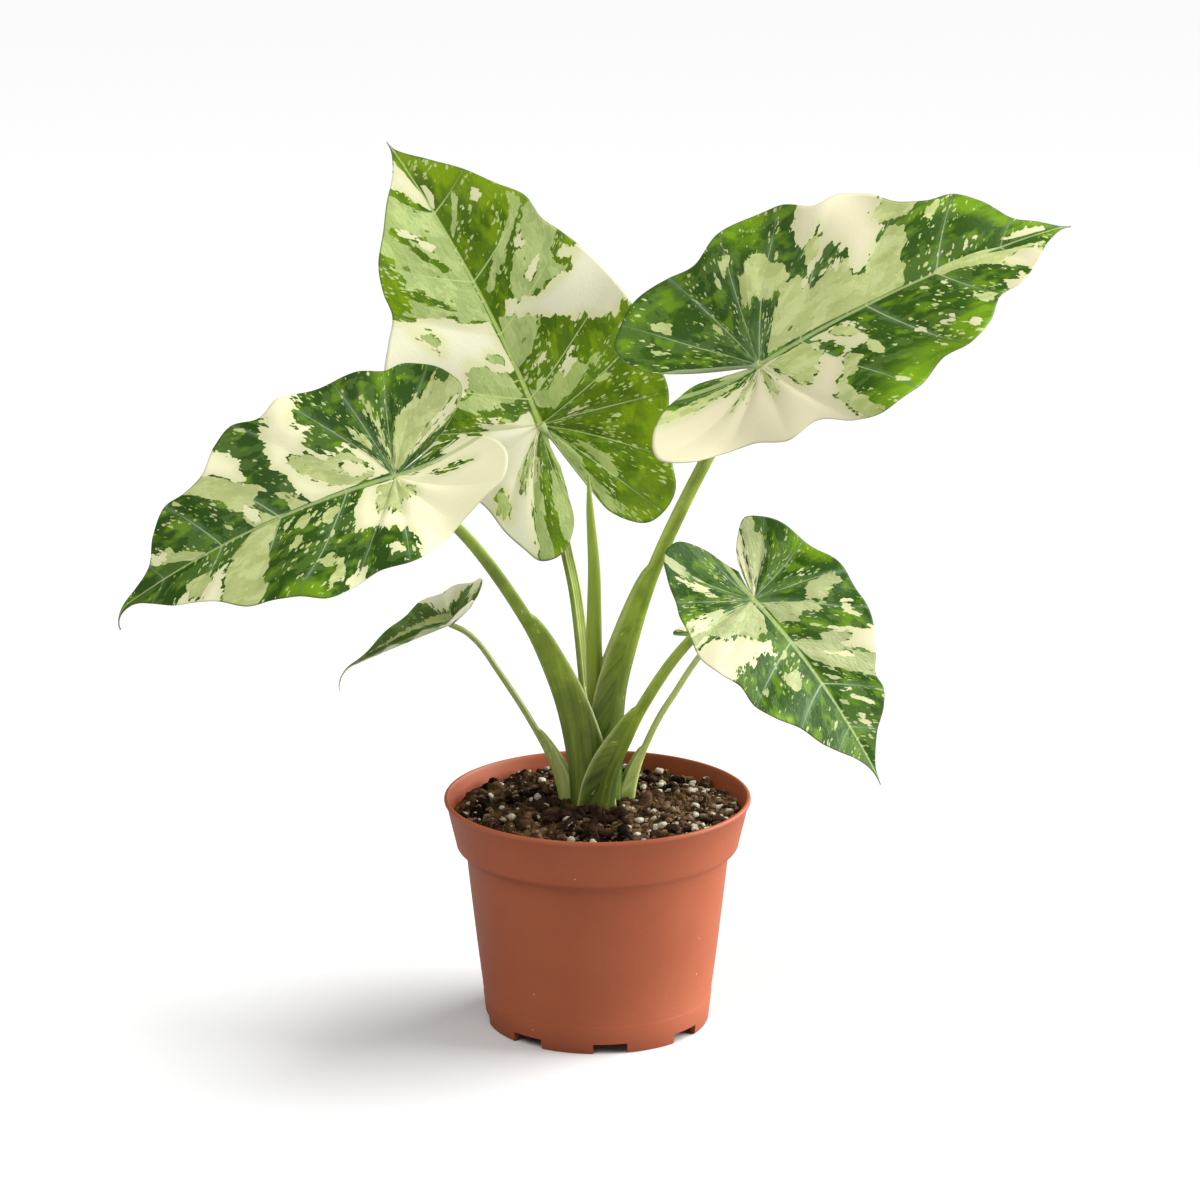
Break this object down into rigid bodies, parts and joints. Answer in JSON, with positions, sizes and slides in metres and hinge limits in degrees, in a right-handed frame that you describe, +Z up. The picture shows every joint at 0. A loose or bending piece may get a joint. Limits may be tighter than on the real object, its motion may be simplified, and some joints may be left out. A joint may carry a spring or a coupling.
{
  "type": "potted variegated giant taro",
  "caption": "Young aroid house plant with large heart-shaped cream and green leaves on channelled stalks, growing from soil in a plain round plastic nursery pot.",
  "frame": {"origin": "on the ground under the middle of the object's box, within a millimetre of the pot's axis", "axes": "+Z up, -Y towards the viewer of the picture, +X to the viewer's right along the widest spread of the leaves"},
  "size_m": [0.5206, 0.2118, 0.4768],
  "materials": {
    "pot": "satin moulded terracotta-coloured plastic",
    "soil": "moist peat and bark with white perlite",
    "corm": "rough brown skin",
    "stalk": "smooth waxy green plant tissue",
    "leaf": "satin leaf skin, mottled in cream, sage and dark green",
    "new_leaf": "smooth rolled young leaf"
  },
  "bodies": {
    "root": {"pot": "pot", "soil": "soil", "corm": "corm", "new_leaf": "new_leaf", "leaf_1_stem": "stalk", "leaf_2_stem": "stalk", "leaf_3_stem": "stalk", "leaf_4_stem": "stalk", "leaf_5_stem": "stalk", "leaf_6_stem": "stalk", "leaf_1_blade": "leaf", "leaf_2_blade": "leaf", "leaf_3_blade": "leaf", "leaf_4_blade": "leaf", "leaf_5_blade": "leaf", "leaf_6_blade": "leaf"}
  },
  "joints": []
}
